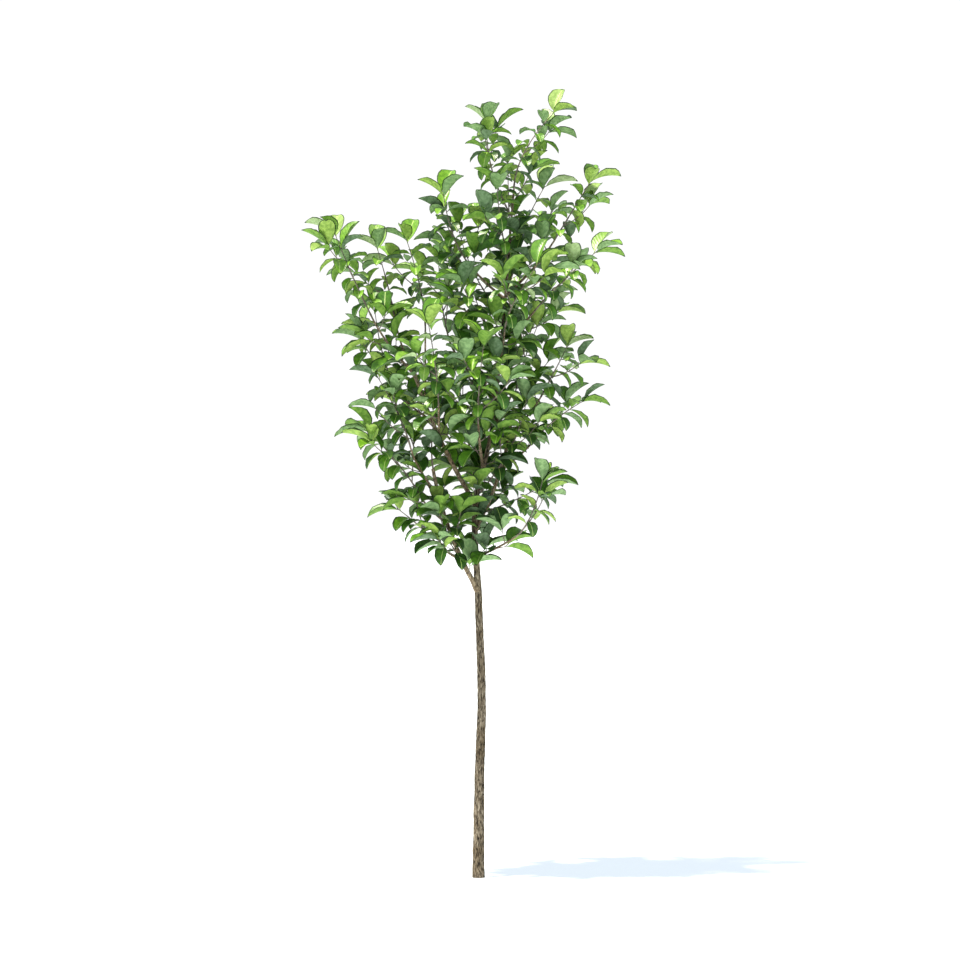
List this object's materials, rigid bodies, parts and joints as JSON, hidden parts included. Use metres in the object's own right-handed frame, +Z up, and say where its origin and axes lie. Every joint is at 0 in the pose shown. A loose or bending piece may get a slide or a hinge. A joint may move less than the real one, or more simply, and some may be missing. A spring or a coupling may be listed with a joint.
{
  "type": "apple tree",
  "caption": "Young apple tree on a tall bare trunk, with climbing boughs under an open, egg-shaped head of arched green leaves, cut flat at the ground where it is rooted.",
  "frame": {"origin": "middle of the trunk's flat cut at the level of the ground", "axes": "+Z up, -Y the front that the picture shows, +X to the right as seen from the front"},
  "size_m": [1.0296, 0.781, 2.5153],
  "materials": {
    "bark": "matt, furrowed",
    "leaf": "satin"
  },
  "bodies": {
    "root": {"bough_back": "bark", "bough_back_left": "bark", "bough_back_right": "bark", "bough_far_left": "bark", "bough_front": "bark", "bough_front_high": "bark", "bough_front_left": "bark", "bough_left": "bark", "bough_left_high": "bark", "bough_left_inner": "bark", "bough_left_low": "bark", "bough_left_side": "bark", "bough_low_left": "bark", "bough_low_left_back": "bark", "bough_low_left_low": "bark", "bough_low_left_out": "bark", "bough_low_right": "bark", "bough_mid_right": "bark", "bough_right": "bark", "bough_right_low": "bark", "bough_right_out": "bark", "bough_upper_back": "bark", "bough_upper_left": "bark", "bough_upper_right": "bark", "leaves_back": "leaf", "leaves_back_left": "leaf", "leaves_back_low": "leaf", "leaves_back_right": "leaf", "leaves_far_left": "leaf", "leaves_front": "leaf", "leaves_front_high": "leaf", "leaves_front_left": "leaf", "leaves_front_low": "leaf", "leaves_high_back": "leaf", "leaves_inner_front": "leaf", "leaves_inner_right": "leaf", "leaves_left_high": "leaf", "leaves_left_inner": "leaf", "leaves_left_low": "leaf", "leaves_left_side": "leaf", "leaves_low_left": "leaf", "leaves_low_left_back": "leaf", "leaves_low_left_low": "leaf", "leaves_low_left_out": "leaf", "leaves_low_right": "leaf", "leaves_low_right_out": "leaf", "leaves_mid_left": "leaf", "leaves_right": "leaf", "leaves_right_high": "leaf", "leaves_right_low": "leaf", "leaves_right_out": "leaf", "leaves_top_back": "leaf", "leaves_top_front": "leaf", "leaves_top_left": "leaf", "leaves_top_right": "leaf", "leaves_upper_back": "leaf", "leaves_upper_left": "leaf", "leaves_upper_right": "leaf", "trunk": "bark"}
  },
  "joints": []
}
